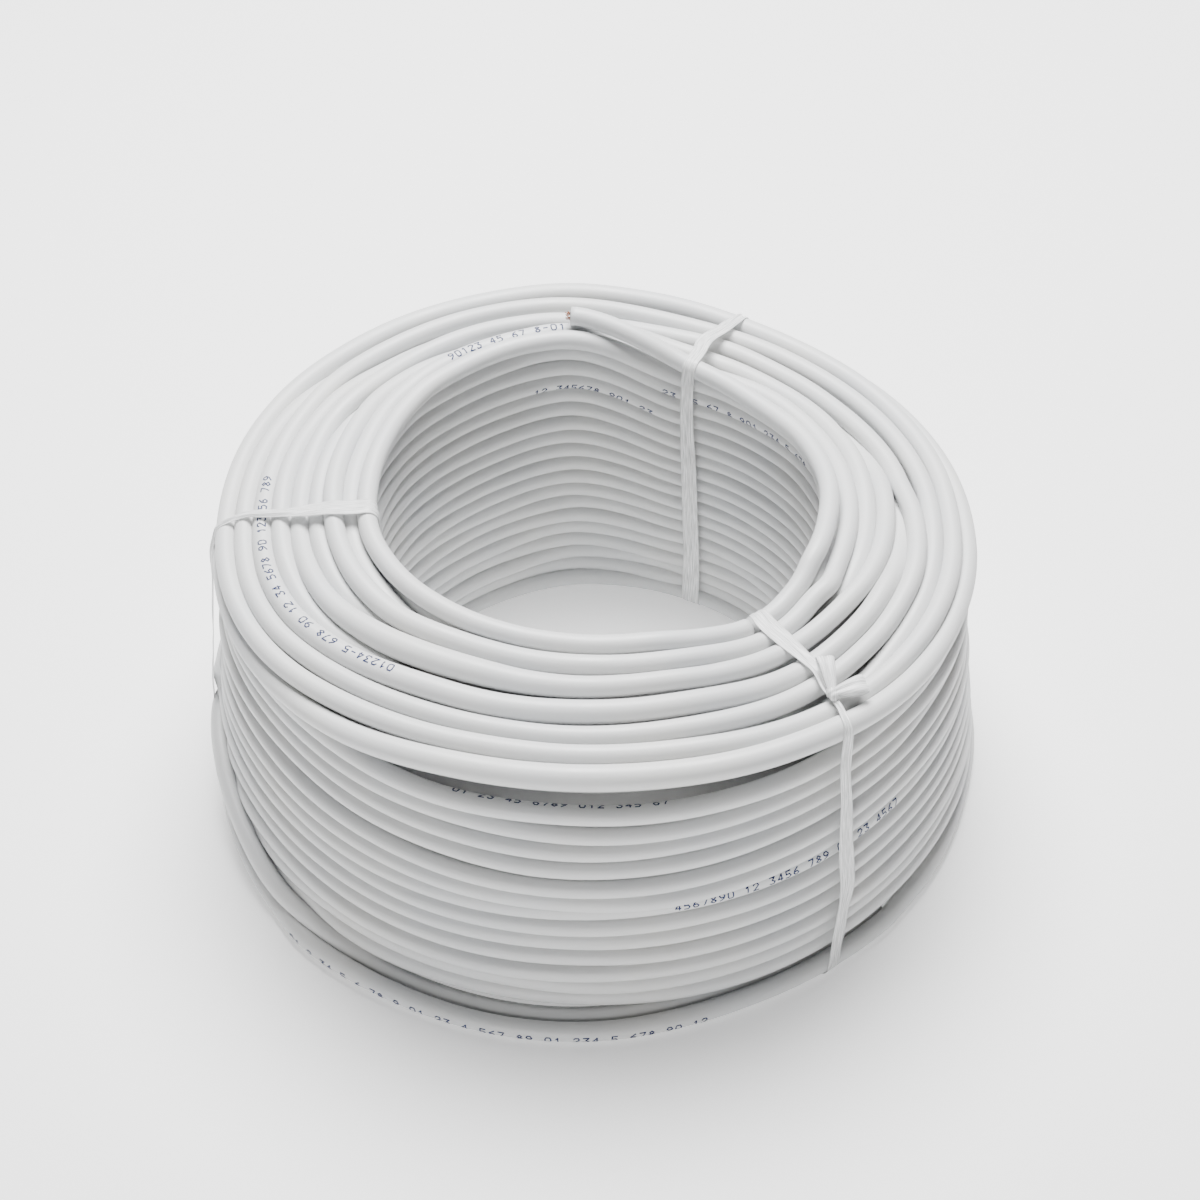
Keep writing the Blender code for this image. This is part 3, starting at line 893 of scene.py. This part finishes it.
def ribbon_mesh(centre, side, up, half_width, fold):
    """A thin band along a closed line; fold is how far it is lifted at each point across.

    Besides its vertices and faces it has, for each vertex, how far across and along the band it is."""
    layers = []
    for lift in (RIBBON_THICKNESS, 0.0):
        layer = (
            centre[:, None]
            + side[:, None] * (ACROSS[None, :, None] * half_width[:, None, None])
            + up[:, None] * (fold + lift)[:, :, None]
        )
        layers.append(layer if lift else layer[:, ::-1])
    corners = np.concatenate(layers, axis=1)
    count, sides = corners.shape[:2]
    run = np.concatenate(([0.0], np.cumsum(np.linalg.norm(np.diff(centre, axis=0), axis=1))))
    places = np.concatenate((ACROSS, ACROSS[::-1]))[None] * half_width[:, None]
    marks = np.stack(np.broadcast_arrays(places, run[:, None]), axis=-1)
    return corners.reshape(-1, 3), ring_faces(count, count, sides), marks.reshape(-1, 2)


def creases(rng, run, half_width):
    """Ridges that run along a gathered ribbon; the narrower it is, the higher they stand."""
    lift = np.zeros((len(run), len(ACROSS)))
    for _ in range(CREASES):
        wave = rng.uniform(*CREASE_SWELLS)
        phase = rng.uniform(0, 2 * math.pi)
        place = rng.uniform(-0.9, 0.9) + 0.25 * np.sin(run / rng.uniform(*CREASE_BENDS) + phase)
        size = CREASE_HEIGHT * (1 + np.sin(run / wave * 2 * np.pi + phase))
        ridge = np.exp(-(((ACROSS[None] - place[:, None]) / CREASE_WIDTH) ** 2))
        lift += size[:, None] * ridge
    gathered = 1 + 2.2 * np.clip(1 - half_width / 2.6, 0.0, 1.0)
    return lift * gathered[:, None]


def add_ribbon(name, band, finish, node):
    """A band becomes a piece whose UV coordinates run across and along it."""
    vertices, faces, marks = band
    piece = add_piece(name, vertices, faces, finish, "tie_ribbon", [node])
    layer = piece.data.uv_layers.new(name="lengthwise")
    for loop in piece.data.loops:
        layer.data[loop.index].uv = marks[loop.vertex_index]


def bow_band(root, heading, up, length, half_width, height):
    """A loop of ribbon that leaves the knot, curls over and comes back under itself."""
    turn = np.arange(0, BOW_STEPS) / BOW_STEPS * 2 * np.pi
    heading = unit(heading - up * (heading @ up))
    side = np.cross(heading, up)
    out = 0.5 * length * (1 - np.cos(turn))
    rise = 0.5 * height * (1 - np.sin(turn)) * (0.45 + 0.55 * out / length)
    centre = root + out[:, None] * heading + rise[:, None] * up
    along = np.roll(centre, -1, 0) - np.roll(centre, 1, 0)
    away = unit(np.cross(side, along))
    half = half_width * (0.3 + 0.7 * np.sin(turn / 2) ** 1.2)
    fold = 0.35 * np.cos(ACROSS * 6.0)[None] * (1 - 0.6 * np.sin(turn / 2)[:, None])
    return ribbon_mesh(centre, np.tile(side, (len(turn), 1)), away, half, fold)


def joined_bands(bands):
    """Several bands as one."""
    vertices, faces = joined([band[:2] for band in bands])
    return vertices, faces, np.concatenate([band[2] for band in bands])


def build_tie(name, strands, finish, rng):
    """A tie's ribbon, and the front tie's knot with its bows."""
    centre, side, up, half = tie_course(name, strands)
    run = np.arange(len(centre)) * TIE_SPACING
    fold = creases(rng, run, half) * np.where(up[:, 2] < -0.3, UNDERSIDE_SHARE, 1.0)[:, None]
    add_ribbon(name + "_ribbon", ribbon_mesh(centre, side, up, half, fold), finish, name)
    if name != "tie_front":
        return
    radius = np.hypot(centre[:, 0], centre[:, 1])
    away = np.where(centre[:, 2] > TIE_MIDDLE[1], np.abs(radius - KNOT_RADIUS), np.inf)
    near = int(np.argmin(away))
    root = centre[near] + up[near] * 0.7
    outward = np.array((root[0], root[1], 0.0)) / math.hypot(root[0], root[1])
    normal = unit(outward * TOP_SLOPE + np.array((0.0, 0.0, 1.0)))
    bows = []
    for heading, length, half_width, height in BOWS:
        bows.append(bow_band(root, np.array((*heading, 0.0)), normal, length, half_width, height))
    add_ribbon("knot_bows", joined_bands(bows), finish, name)
    reach = np.linspace(-1, 1, 15)
    heading = unit(centre[near + 2] - centre[near - 2])
    line = root + normal * 0.5 + heading * reach[:, None] * KNOT_REACH
    swell = KNOT_SWELL * np.sqrt(np.clip(1 - reach**2, 0.02, 1)) * (1 + 0.12 * np.sin(reach * 9))
    vertices, faces = tube_mesh(line, swell, False, 12)
    knot = (vertices, faces, np.column_stack((vertices[:, 0], vertices[:, 2])))
    add_ribbon("knot_wrap", knot, finish, name)


def build_copper(points, finish, rng):
    """Fine strands of the two cores, which spread a little where the flex was cut."""
    outward = unit(points[-1] - points[-2])
    sideways = unit(np.cross(outward, (0.0, 0.0, 1.0)))
    upward = np.cross(sideways, outward)
    for name, side in (("conductor_end_outer", -1), ("conductor_end_inner", 1)):
        root = points[-1] + sideways * side * CONDUCTOR_OFFSET
        stub = np.array([root - outward * 0.4, root + outward * 0.3])
        parts = [tube_mesh(stub, CONDUCTOR_RADIUS, False, 14)]
        for k in range(COPPER_STRANDS):
            turn = 2 * math.pi * k / COPPER_STRANDS + 0.4
            spread = sideways * math.cos(turn) + upward * math.sin(turn)
            foot = root + spread * STRAND_OFFSET
            reach = rng.uniform(1.2, 2.4)
            lean = spread * rng.uniform(0.1, 0.6) + upward * rng.uniform(0.0, 0.7)
            line = np.array([foot, foot + outward * reach * 0.5, foot + outward * reach + lean])
            parts.append(tube_mesh(line, STRAND_RADIUS, False, 8))
        add_piece(name + "_strands", *joined(parts), finish, "bare_copper", [name])


def printed(strand, start, facing, way, text):
    """Thin flat strokes of plain figures on a turn: way is 1 or -1, the sense they are read in."""
    line = path_of(strand)
    outward, upward = frames_along(line, strand.closed)
    distance = float(np.mean(strand.places[:, 0]))
    parts = []

    def on_skin(x, y, lift):
        """The place x along and y up the print, a little above the sheath."""
        azimuth = start + way * math.degrees(x / distance)
        if strand.closed:
            azimuth %= 360.0
        index = (azimuth - strand.azimuth[0]) / STEP
        low = int(index)
        share = index - low
        high = (low + 1) % len(line) if strand.closed else min(low + 1, len(line) - 1)
        turn = math.radians(facing) + way * y / strand.radius[low]
        out = outward[low] * (1 - share) + outward[high] * share
        rise = upward[low] * (1 - share) + upward[high] * share
        centre = line[low] * (1 - share) + line[high] * share
        return centre + (out * math.cos(turn) + rise * math.sin(turn)) * (strand.radius[low] + lift)

    for place, figure in enumerate(text):
        for stroke in FIGURES.get(figure, ()):
            for (x0, y0), (x1, y1) in zip(stroke, stroke[1:]):
                length = math.hypot((x1 - x0) * FIGURE_WIDTH, (y1 - y0) * FIGURE_HEIGHT)
                pieces = max(1, math.ceil(length / STROKE_PIECE))
                for k in range(pieces):
                    ends = []
                    for t in (k / pieces, (k + 1) / pieces):
                        x = place * FIGURE_PITCH + (x0 + (x1 - x0) * t) * FIGURE_WIDTH
                        y = (y0 + (y1 - y0) * t - 0.5) * FIGURE_HEIGHT
                        ends.append(np.array((x, y)))
                    run = unit(ends[1] - ends[0])
                    across = np.array((-run[1], run[0])) * STROKE_WIDTH / 2
                    ends = [ends[0] - run * STROKE_WIDTH / 4, ends[1] + run * STROKE_WIDTH / 4]
                    corners = [ends[0] - across, ends[1] - across, ends[1] + across, ends[0] + across]
                    block = [on_skin(*c, lift) for lift in INK_LIFTS for c in corners]
                    faces = BLOCK_FACES if way > 0 else [face[::-1] for face in BLOCK_FACES]
                    parts.append((np.array(block), faces))
    return joined(parts)


def build_print(strands, finish):
    """The figures of the top, the wall and the bore."""
    named = {s.name: s for s in strands}
    for name, marks in PRINT.items():
        parts = [printed(named[mark[0]], *mark[1:]) for mark in marks]
        add_piece(name, *joined(parts), finish, "cable_sheath", ["cable_coil"], smooth=False)


def add_camera():
    """The photograph's view: from the front and above, aimed at the middle of the coil."""
    elevation = math.radians(CAMERA_ELEVATION)
    back = Vector((0.0, -math.cos(elevation), math.sin(elevation)))
    data = bpy.data.cameras.new("camera")
    data.sensor_width = 36.0
    data.lens = CAMERA_LENS
    data.shift_x, data.shift_y = CAMERA_SHIFT
    camera = bpy.data.objects.new("camera", data)
    camera.location = Vector(CAMERA_AIM) + back * CAMERA_DISTANCE
    camera.rotation_euler = (math.radians(90) - elevation, 0.0, 0.0)
    bpy.context.scene.collection.objects.link(camera)
    bpy.context.scene.camera = camera


def add_area_light(name, place, size, power):
    """A round soft light that faces the coil."""
    data = bpy.data.lights.new(name, "AREA")
    data.shape = "DISK"
    data.size = size
    data.energy = power
    light = bpy.data.objects.new(name, data)
    light.location = place
    heading = Vector(LIGHT_AIM) - Vector(place)
    light.rotation_euler = heading.to_track_quat("-Z", "Y").to_euler()
    bpy.context.scene.collection.objects.link(light)


def add_studio():
    """A pale floor, a dim sky and two soft lights."""
    world = bpy.data.worlds.new("studio")
    world.use_nodes = True
    sky = world.node_tree.nodes["Background"]
    sky.inputs["Color"].default_value = (1.0, 1.0, 1.0, 1.0)
    sky.inputs["Strength"].default_value = 0.08
    bpy.context.scene.world = world
    for light in LIGHTS:
        add_area_light(*light)
    mesh = bpy.data.meshes.new("floor")
    corners = [(x * FLOOR_REACH, y * FLOOR_REACH, 0.0) for x, y in ((-1, -1), (1, -1), (1, 1), (-1, 1))]
    mesh.from_pydata(corners, [], [(0, 1, 2, 3)])
    floor = bpy.data.objects.new("floor", mesh)
    bpy.context.scene.collection.objects.link(floor)
    pale, _, _, shader = new_material("pale_floor", (0.92, 0.92, 0.92), 0.7)
    shader.inputs["Emission Color"].default_value = (1.0, 1.0, 1.0, 1.0)
    shader.inputs["Emission Strength"].default_value = 0.42
    floor.data.materials.append(pale)


def main():
    """Sets up the studio and builds every piece."""
    add_camera()
    add_studio()
    sheath = sheath_material()
    ribbon = ribbon_material()
    copper = copper_material()
    ink = ink_material()
    strands = bore_strands() + top_strands() + wall_strands() + bottom_strands()
    settle(strands)
    tail = build_tail(strands, sheath)
    rng = np.random.default_rng(SEED)
    build_copper(tail, copper, rng)
    build_winding(strands, sheath)
    build_print(strands, ink)
    for name in TIE_ANGLES:
        build_tie(name, strands, ribbon, rng)


main()
